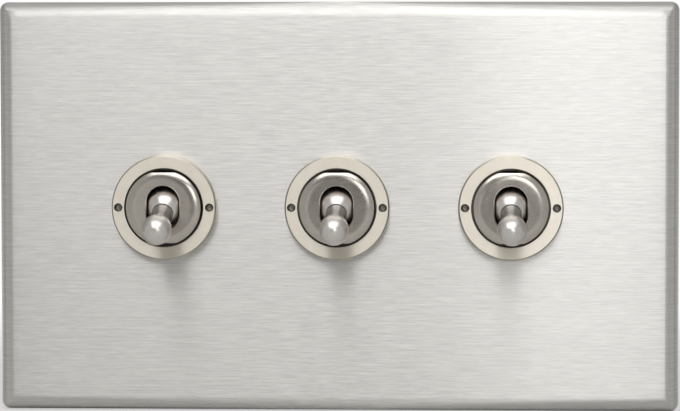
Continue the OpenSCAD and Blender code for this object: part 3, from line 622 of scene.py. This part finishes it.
class Shade:
    """A socket of a node tree. Sums on it add the Math nodes that work them out."""

    def __init__(self, tree, socket=None):
        self.tree = tree
        self.socket = socket

    def node(self, kind, settings=None, sockets=None, output=0):
        """Adds a node of a type: its settings are set first, then the values or links of its sockets."""
        made = self.tree.nodes.new(kind)
        for name, value in (settings or {}).items():
            setattr(made, name, value)
        for place, value in (sockets or {}).items():
            if isinstance(value, Shade):
                self.tree.links.new(value.socket, made.inputs[place])
            else:
                made.inputs[place].default_value = value
        return Shade(self.tree, made.outputs[output])

    def sum(self, operation, *values):
        """A Math node on numbers or sockets."""
        return self.node("ShaderNodeMath", {"operation": operation}, dict(enumerate(values)))

    def __add__(self, other):
        return self.sum("ADD", self, other)

    def __sub__(self, other):
        return self.sum("SUBTRACT", self, other)

    def __rsub__(self, other):
        return self.sum("SUBTRACT", other, self)

    def __mul__(self, other):
        return self.sum("MULTIPLY", self, other)

    __radd__ = __add__
    __rmul__ = __mul__

    def step(self, low, high):
        """0 below low, 1 above high and a smooth rise between them."""
        limits = {0: self, 1: low, 2: high, 3: 0.0, 4: 1.0}
        return self.node("ShaderNodeMapRange", {"interpolation_type": "SMOOTHSTEP"}, limits)

    def band(self, rise, fall):
        """1 between a smooth rise and a smooth fall, each given by its low and high values, and 0 outside."""
        return self.step(*rise) * (1 - self.step(*fall))

    def parts(self):
        """The three numbers of a vector."""
        split = self.node("ShaderNodeSeparateXYZ", None, {0: self})
        return [Shade(self.tree, socket) for socket in split.socket.node.outputs]

    def grain(self, scale, detail, rough):
        """Noise from 0 to 1 on a vector, with a scale in cycles a metre for each axis or for all three."""
        scale = scale if isinstance(scale, tuple) else (scale,) * 3
        spread = self.node("ShaderNodeMapping", None, {0: self, 3: scale})
        return self.node("ShaderNodeTexNoise", None, {0: spread, 2: 1.0, 3: detail, 4: rough})

    def blend(self, first, second):
        """A colour that goes from the first to the second as this goes from 0 to 1."""
        return self.node("ShaderNodeMix", {"data_type": "RGBA"}, {0: self, 6: first, 7: second}, 2)

    def seen(self):
        """1 for what the camera sees straight, this number for what it sees in metal, and 0 for the rest."""
        path = self.node("ShaderNodeLightPath", None, None, "Is Camera Ray")
        glossy = Shade(self.tree, path.socket.node.outputs["Is Glossy Ray"])
        return self.sum("MAXIMUM", path, glossy * self)

    def mottle(self, colour, dark, light, low=0.3, high=0.7):
        """A colour whose brightness goes from dark to light as this noise goes from low to high."""
        return self.step(low, high).blend(rgba(colour, dark), rgba(colour, light))


def rgba(colour, level=1.0):
    """A colour with its brightness multiplied, as four numbers."""
    return (*(min(channel * level, 1.0) for channel in colour), 1.0)


class Finish:
    """A material: coordinates to start from, and one call that fills in its Principled shader."""

    def __init__(self, name):
        self.material = bpy.data.materials.new(name)
        self.material.use_nodes = True
        self.tree = self.material.node_tree
        self.shader = self.tree.nodes["Principled BSDF"]
        self.start = Shade(self.tree)

    def place(self):
        """Object coordinates, which are the frame's."""
        return self.start.node("ShaderNodeTexCoord", None, None, "Object")

    def unfolded(self):
        """Places on the sheet before it was folded."""
        return self.start.node("ShaderNodeAttribute", {"attribute_name": "brush"}, None, "Vector")

    def fill(self, colour, roughness, metallic, height, depth, **constants):
        """Links what varies and sets what doesn't. Height from 0 to 1 stands for a relief of that depth."""
        bump = self.start.node(
            "ShaderNodeBump", None, {"Strength": 1.0, "Distance": depth, "Height": height}, "Normal"
        )
        for name, value in {"Base Color": colour, "Roughness": roughness, "Normal": bump}.items():
            self.tree.links.new(value.socket, self.shader.inputs[name])
        self.shader.inputs["Metallic"].default_value = metallic
        for name, value in constants.items():
            self.shader.inputs[name.replace("_", " ").title()].default_value = value
        return self.material


def brushed_plate(colour):
    """Steel brushed along its length: hair lines that run with the unfolded sheet, over wider bands."""
    finish = Finish("brushed_plate")
    sheet = finish.unfolded()
    hair = sheet.grain((240.0, 3800.0, 1.0), 3.0, 0.6)
    line = sheet.grain((110.0, 1900.0, 1.0), 2.0, 0.5)
    band = sheet.grain((8.0, 160.0, 1.0), 2.0, 0.5)
    cloud = sheet.grain((18.0, 18.0, 1.0), 2.0, 0.5)
    streak = hair * 0.6 + line * 0.32 + band * 0.08
    shade = streak.mottle(colour, 0.86, 1.1)
    rough = 0.34 + streak * 0.08 + cloud * 0.02
    return finish.fill(shade, rough, 1.0, hair * 0.6 + line * 0.4, 3e-6, **BRUSHED)


def from_axis(place):
    """Distance from the axis of the nearest bush, and the place across it, from minus half a pitch to half a
    pitch."""
    x, _, z = place.parts()
    across = x - place.sum("ROUND", x * (1 / PITCH)) * PITCH
    return place.sum("SQRT", across * across + z * z), across


def satin_nickel(colour, sizes):
    """Satin nickel, brushed as the plate is: a fine even grain with slight handling marks. The thread in the
    gap round the bush is darkened with painted shade and a little lubricant, the lower part and sides of the
    smoother outer edge are darkened with painted shade, and the spanner holes hold painted shade, dark at
    their walls and lighter at the cone of their floor."""
    finish = Finish("satin_nickel")
    place = finish.place()
    reach, across = from_axis(place)
    side = place.sum("ABSOLUTE", across) - sizes.hole_at
    height = place.parts()[2]
    drill = place.sum("SQRT", side * side + height * height)
    # painted shade with a little lubricant on the thread in the gap round the bush
    thread = 1 - reach.step(sizes.mouth, sizes.mouth + 0.00004)
    well = 1 - drill.step(sizes.hole, sizes.hole + 0.00006)
    grain = place.grain(5200.0, 2.0, 0.6)
    cloud = place.grain(260.0, 3.0, 0.55)
    clean = (grain * 0.4 + cloud * 0.6).mottle(colour, 0.95, 1.04)
    brink = sizes.radius - sizes.chamfer
    # painted shade on the outer edge: darker on the lower part and sides, none at the top
    edge = reach.step(brink - 0.00003, brink + 0.00006)
    oil_and_shade = place.sum("MAXIMUM", thread, edge * (1 - height.step(0.003, 0.009)) * 0.5)
    # painted shade in the spanner holes: dark walls, lighter cone at the floor
    dark = well * (0.6 + drill.step(0.4 * sizes.hole, 0.8 * sizes.hole) * 0.3)
    shade = dark.blend(oil_and_shade.blend(clean, OIL_AND_SHADE), DEEP_SHADE)
    rough = 0.36 + cloud * 0.06 + grain * 0.03 - edge * 0.12
    return finish.fill(shade, rough, 1.0, grain, 1.5e-6, **BRUSHED)


def polished_nickel(colour, sizes):
    """Polished nickel with a little haze and fine wipe marks, and the thread below the crown darkened with
    painted shade and a little lubricant.
    """
    finish = Finish("polished_nickel")
    place = finish.place()
    reach = from_axis(place)[0]
    out = place.parts()[1] * -1
    below = 1 - out.step(sizes.front - 2.2 * sizes.crown_fall, sizes.front - 1.4 * sizes.crown_fall)
    flat = sizes.flats / 2
    # painted shade with a little lubricant on the thread in the gap inside the ring nut
    thread = reach.step(flat - 0.00015, flat - 0.00005) * below
    wipe = place.grain((900.0, 900.0, 2600.0), 3.0, 0.6)
    cloud = place.grain(320.0, 3.0, 0.55)
    clean = (wipe * 0.5 + cloud * 0.5).mottle(colour, 0.93, 1.06)
    shade = thread.blend(clean, OIL_AND_SHADE)
    return finish.fill(shade, 0.15 + cloud * 0.08 + wipe * 0.03 + thread * 0.3, 1.0, wipe, 1e-6)


def turned_nickel(colour, sizes):
    """A turned lever by the place along it: polished ball, groove darkened with painted shade, neck with fine
    tool lines and a painted dark reflection of the slot, and satin knob."""
    finish = Finish("turned_nickel")
    place = finish.place()
    _, y, z = place.parts()
    along = y * -math.cos(THROW) + z * -math.sin(THROW) - PIVOT_OUT * math.cos(THROW)
    knob = along.step(sizes.knob_from - 0.0006, sizes.knob_from)
    line = along.node(
        "ShaderNodeTexNoise", {"noise_dimensions": "1D"}, {"W": along * 9000.0, "Scale": 1.0, "Detail": 2.0}
    )
    grain = place.grain(4200.0, 2.0, 0.6)
    clean = (line * 0.5 + grain * 0.5).mottle(colour, 0.95, 1.05)
    start = math.sqrt(sizes.ball**2 - sizes.shoulder**2)
    end = start + sizes.groove_width
    neck = along.step(end, end + 0.00007)
    # painted shade in the groove between ball and neck
    groove = along.step(start - 0.00006, start + 0.00002) * (1 - neck)
    # painted reflection: the neck darkened as if mirroring the dark slot
    dark_reflection = neck * (1 - along.step(sizes.knob_from - 0.0012, sizes.knob_from))
    shade = (groove * 0.85).blend((dark_reflection * 0.35).blend(clean, OIL_AND_SHADE), DEEP_SHADE)
    rough = 0.26 + knob * 0.02 + grain * 0.05
    return finish.fill(shade, rough, 1.0, line * (1 - knob) + grain * knob, 1.5e-6)


def zinc_plate(colour):
    """Bright zinc plate: faint crystal patches over rolling lines."""
    finish = Finish("zinc_plate")
    place = finish.place()
    crystals = place.node("ShaderNodeTexVoronoi", None, {"Vector": place, "Scale": 620.0}, "Color")
    patch = crystals.parts()[0]
    roll = place.grain((60.0, 2400.0, 2400.0), 3.0, 0.55)
    cloud = place.grain(130.0, 3.0, 0.55)
    shade = (patch * 0.35 + roll * 0.35 + cloud * 0.3).mottle(colour, 0.86, 1.12, 0.25, 0.75)
    return finish.fill(shade, 0.28 + cloud * 0.14 + patch * 0.05, 1.0, roll, 2.5e-6)


def sawn_brass(name, colour):
    """Brass with cutting lines and a brown bloom in places."""
    finish = Finish(name)
    place = finish.place()
    line = place.grain((3000.0, 240.0, 3000.0), 3.0, 0.6)
    cloud = place.grain(230.0, 4.0, 0.6)
    bright = line.mottle(colour, 0.9, 1.1)
    bloom = rgba((colour[0] * 0.62, colour[1] * 0.5, colour[2] * 0.45))
    shade = cloud.step(0.56, 0.78).blend(bright, bloom)
    return finish.fill(shade, 0.24 + cloud * 0.2, 1.0, line, 3e-6)


def drawn_wire(name, colour):
    """Drawn steel wire and ground pins."""
    finish = Finish(name)
    place = finish.place()
    line = place.grain((300.0, 3600.0, 3600.0), 2.0, 0.5)
    shade = line.mottle(colour, 0.85, 1.12)
    return finish.fill(shade, 0.22 + line * 0.12, 1.0, line, 1.5e-6)


def moulded(name, colour, sheen):
    """Moulded plastic: a spark-eroded grain with soft flow clouds."""
    finish = Finish(name)
    place = finish.place()
    grain = place.grain(2600.0, 2.0, 0.55)
    cloud = place.grain(90.0, 3.0, 0.5)
    shade = (grain * 0.5 + cloud * 0.5).mottle(colour, 0.85, 1.2)
    return finish.fill(shade, sheen + cloud * 0.14 + grain * 0.06, 0.0, grain, 8e-6)


class WALLSWITCH_OT_front_plate(Operator):
    """Makes the brushed front plate."""

    bl_idname = "wallswitch.front_plate"
    bl_label = "Front plate"

    def execute(self, context):
        piece = make_piece("brushed_front_plate", plate_patches(context.scene.switch_plate))
        finish = brushed_plate(context.scene.switch_finishes.plate)
        settle(piece, "frame", "brushed_plate", finish, "front_plate")
        return {"FINISHED"}


class WALLSWITCH_OT_ring_nuts(Operator):
    """Makes the three ring nuts with their spanner holes."""

    bl_idname = "wallswitch.ring_nuts"
    bl_label = "Ring nuts"

    def execute(self, context):
        sizes = context.scene.switch_nut
        finish = satin_nickel(context.scene.switch_finishes.nut, sizes)
        for gang, x in GANGS:
            piece = make_piece(f"satin_ring_nut_{gang}", nut_patches(sizes, x))
            settle(piece, "frame", "satin_nickel", finish, f"ring_nut_{gang}")
        return {"FINISHED"}


class WALLSWITCH_OT_bushes(Operator):
    """Makes the three slotted bushes."""

    bl_idname = "wallswitch.bushes"
    bl_label = "Bushes"

    def execute(self, context):
        sizes = context.scene.switch_bush
        finish = polished_nickel(context.scene.switch_finishes.bush, sizes)
        for gang, x in GANGS:
            piece = make_piece(f"slotted_bush_{gang}", bush_patches(sizes, x))
            cross_bore(piece, x, sizes.pin_bore, 2 * sizes.radius)
            settle(piece, "frame", "bright_nickel", finish, f"bush_{gang}")
        return {"FINISHED"}


class WALLSWITCH_OT_dollies(Operator):
    """Makes the three turned dollies."""

    bl_idname = "wallswitch.dollies"
    bl_label = "Dollies"

    def execute(self, context):
        sizes = context.scene.switch_dolly
        finish = turned_nickel(context.scene.switch_finishes.dolly, sizes)
        for gang, x in GANGS:
            piece = make_piece(f"turned_dolly_{gang}", dolly_patches(sizes, x))
            cross_bore(piece, x, sizes.pin_bore, 2 * sizes.ball)
            settle(piece, f"dolly_{gang}", "lever_nickel", finish, f"dolly_{gang}")
        return {"FINISHED"}


class WALLSWITCH_OT_springs(Operator):
    """Makes the three springs."""

    bl_idname = "wallswitch.springs"
    bl_label = "Springs"

    def execute(self, context):
        sizes = context.scene.switch_spring
        finish = drawn_wire("spring_wire", context.scene.switch_finishes.steel)
        for gang, x in GANGS:
            piece = make_piece(f"coil_spring_{gang}", coil_patches(sizes, x))
            piece.data.materials.append(finish)
            start, end = (tuple(on_lever(x, 0.0, 0.0, -place).tolist()) for place in (sizes.near, sizes.far))
            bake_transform(piece)
            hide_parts(f"spring_{gang}")
        return {"FINISHED"}


class WALLSWITCH_OT_workings(Operator):
    """Gives the liner, yoke, screws and switches behind the plate their finishes."""

    bl_idname = "wallswitch.workings"
    bl_label = "Workings"

    def execute(self, context):
        tints = context.scene.switch_finishes
        zinc = zinc_plate(tints.zinc)
        steel = drawn_wire("ground_pin", tints.steel)
        black = moulded("black_moulding", tints.moulding, 0.36)
        block = sawn_brass("block_brass", tints.brass)
        screw = sawn_brass("screw_brass", (tints.brass[0], tints.brass[1] * 1.12, tints.brass[2] * 1.5))
        finishes = {
            "plate_liner": black, "switch_cover": black, "switch_base": black, "mounting_yoke": zinc,
            "fixing_screws": zinc, "assembly_screws": zinc, "earth_terminal": block, "com_terminal": block,
            "way1_terminal": block, "way2_terminal": block, "earth_screw": screw, "terminal_screws": screw,
            "pivot_pin": steel, "rocker": sawn_brass("strip_copper", tints.copper),
            "plunger": moulded("plunger_nylon", tints.nylon, 0.32),
        }
        for node, solid in frame["nodes"].items():
            kind = node.rstrip("123").rstrip("_")
            if solid.hide_render:
                continue
            if kind not in finishes:
                raise RuntimeError(f"no finish for {node}")
            for slot in solid.material_slots:
                slot.material = finishes[kind]
        return {"FINISHED"}


class WALLSWITCH_OT_studio(Operator):
    """Makes the camera, the pale floor and the light."""

    bl_idname = "wallswitch.studio"
    bl_label = "Studio"

    def execute(self, context):
        settings = context.scene.switch_studio
        self.camera(context.scene, settings)
        self.floor(settings)
        self.light(context.scene, settings)
        context.scene.view_settings.view_transform = "Standard"
        return {"FINISHED"}

    def camera(self, scene, settings):
        """Aims part of the way from its place to the plate's middle, and meets the rest with shift."""
        data = bpy.data.cameras.new("camera")
        camera = put("camera", data)
        edge_out = PLATE_OUT - scene.switch_plate.edge
        place = Vector((settings.right, -edge_out - settings.distance, settings.up))
        aim = Vector((settings.view_right, -edge_out, settings.view_up)) - place
        yaw = settings.turn * math.atan2(-aim.x, aim.y)
        pitch = settings.turn * math.atan2(aim.z, aim.y)
        turn = Euler((math.pi / 2 + pitch, 0.0, yaw))
        seen = turn.to_matrix().inverted() @ aim
        data.sensor_fit = "HORIZONTAL"
        data.sensor_width = SENSOR
        data.lens = SENSOR * -seen.z / settings.view_width
        data.shift_x = seen.x / settings.view_width
        data.shift_y = seen.y / settings.view_width
        data.clip_start, data.clip_end = 0.01, 20.0
        camera.location = place
        camera.rotation_euler = turn
        scene.camera = camera

    def floor(self, settings):
        """A wide pale disc under the plate's lower edge, which the camera sees fade to white away from it."""
        level = CAD_BOX[0][2]
        angle = full_turn(FLOOR_ROUND)
        radius = np.linspace(0.0, 1.0, FLOOR_OUTWARD + 1)[:, None] ** 2 * settings.floor_reach
        disc = np.stack(np.broadcast_arrays(radius * np.cos(angle), radius * np.sin(angle), level), axis=-1)
        mesh = bpy.data.meshes.new("floor")
        mesh.from_pydata(disc.reshape(-1, 3).tolist(), [], quads(*disc.shape[:2], True).tolist())
        shell = welded(mesh)
        shell.to_mesh(mesh)
        shell.free()
        floor = put("floor", mesh)
        finish = Finish("pale_floor")
        place = finish.place()
        cloud = place.grain(9.0, 3.0, 0.5)
        shade = cloud.blend(rgba(settings.floor, 0.98), rgba(settings.floor, 1.02))
        mesh.materials.append(finish.fill(shade, 0.7 + cloud * 0.1, 0.0, cloud, 1e-6))
        x, y, _ = place.parts()
        away = cloud.sum("SQRT", x * x * 0.5 + y * y)
        whiteness = 0.45 + away.step(0.07, 0.2) * 0.55
        seen = y.step(0.0, 0.05).seen() * whiteness
        white = cloud.node("ShaderNodeEmission")
        lit = Shade(finish.tree, finish.shader.outputs[0])
        faded = cloud.node("ShaderNodeMixShader", None, {0: seen, 1: lit, 2: white})
        finish.tree.links.new(faded.socket, finish.tree.nodes["Material Output"].inputs["Surface"])

    def light(self, scene, settings):
        """A dim room, lighter above, with a softbox over the camera, fainter cards at the front left and
        right, a small card left of the camera and three lamps near the plate. The camera sees plain white
        behind the object, and so does metal that mirrors what lies straight behind."""
        world = bpy.data.worlds.new("studio")
        scene.world = world
        world.use_nodes = True
        tree = world.node_tree
        start = Shade(tree)
        x, y, z = start.node("ShaderNodeTexCoord", None, None, "Generated").parts()
        front = (y * -1).step(0.0, 0.3)
        room = settings.sky + y.step(-0.6, -0.2) * settings.wall + z.step(0.5, 1.0) * settings.top
        box = x.band((-0.22, -0.08), (-0.02, 0.14)) * z.band((0.22, 0.42), (0.42, 0.68))
        aside = (start.sum("ABSOLUTE", x + 0.03) - z * 0.5).step(0.06, 0.26)
        cards = aside * z.band((-0.35, -0.1), (0.45, 0.7))
        low = x.band((-0.3, -0.22), (-0.19, -0.11)) * z.band((-0.16, -0.05), (0.05, 0.15))
        glow = room + (box * settings.box + cards * settings.cards + low * settings.low_card) * front
        seen = y.step(0.7, 0.95).seen()
        back = tree.nodes["Background"]
        shade = seen.blend((1.0, 0.99, 0.97, 1.0), (1.0, 1.0, 1.0, 1.0))
        tree.links.new(shade.socket, back.inputs["Color"])
        tree.links.new((glow * (1 - seen) + seen).socket, back.inputs["Strength"])
        self.lamp("front_lamp", settings.front, (-0.02, -0.34, 0.24), (0.33, 0.12))
        self.lamp("right_lamp", settings.right_lamp, (0.09, -0.4, 0.07), (0.11, 0.11))
        self.lamp("top_lamp", settings.over, (0.0, -0.18, 0.265), (0.4, 0.2))

    def lamp(self, name, power, place, size):
        """A rectangular lamp that looks at the plate's middle and that the camera doesn't see."""
        data = bpy.data.lights.new(name, "AREA")
        data.shape = "RECTANGLE"
        data.size, data.size_y = size
        data.energy = power
        lamp = put(name, data)
        lamp.location = place
        lamp.rotation_euler = (-lamp.location).to_track_quat("-Z", "Y").to_euler()
        lamp.visible_camera = False


class WALLSWITCH_PT_pieces(Panel):
    """Lists the pieces of the wall switch."""

    bl_idname = "WALLSWITCH_PT_pieces"
    bl_label = "Wall switch"
    bl_space_type = "VIEW_3D"
    bl_region_type = "UI"
    bl_category = "Wall switch"

    def draw(self, context):
        for operator in OPERATORS:
            self.layout.operator(operator.bl_idname)
        for name, group in GROUPS.items():
            box = self.layout.box()
            for key in group.__annotations__:
                box.prop(getattr(context.scene, name), key)


GROUPS = {
    "switch_plate": PlateSizes,
    "switch_nut": NutSizes,
    "switch_bush": BushSizes,
    "switch_dolly": DollySizes,
    "switch_spring": SpringSizes,
    "switch_finishes": Finishes,
    "switch_studio": StudioSettings,
}
OPERATORS = (
    WALLSWITCH_OT_front_plate, WALLSWITCH_OT_ring_nuts, WALLSWITCH_OT_bushes, WALLSWITCH_OT_dollies,
    WALLSWITCH_OT_springs, WALLSWITCH_OT_workings, WALLSWITCH_OT_studio,
)
CLASSES = (*GROUPS.values(), *OPERATORS, WALLSWITCH_PT_pieces)


def register():
    """Registers the classes and gives every scene the groups of sizes."""
    for cls in CLASSES:
        bpy.utils.register_class(cls)
    for name, group in GROUPS.items():
        setattr(bpy.types.Scene, name, PointerProperty(type=group))


def unregister():
    """Takes the groups and the classes away again."""
    for name in GROUPS:
        delattr(bpy.types.Scene, name)
    for cls in reversed(CLASSES):
        bpy.utils.unregister_class(cls)


def main():
    """Makes every piece and the studio."""
    register()
    bpy.ops.wallswitch.front_plate()
    bpy.ops.wallswitch.ring_nuts()
    bpy.ops.wallswitch.bushes()
    bpy.ops.wallswitch.dollies()
    bpy.ops.wallswitch.springs()
    bpy.ops.wallswitch.workings()
    bpy.ops.wallswitch.studio()


if __name__ == "__main__":
    main()
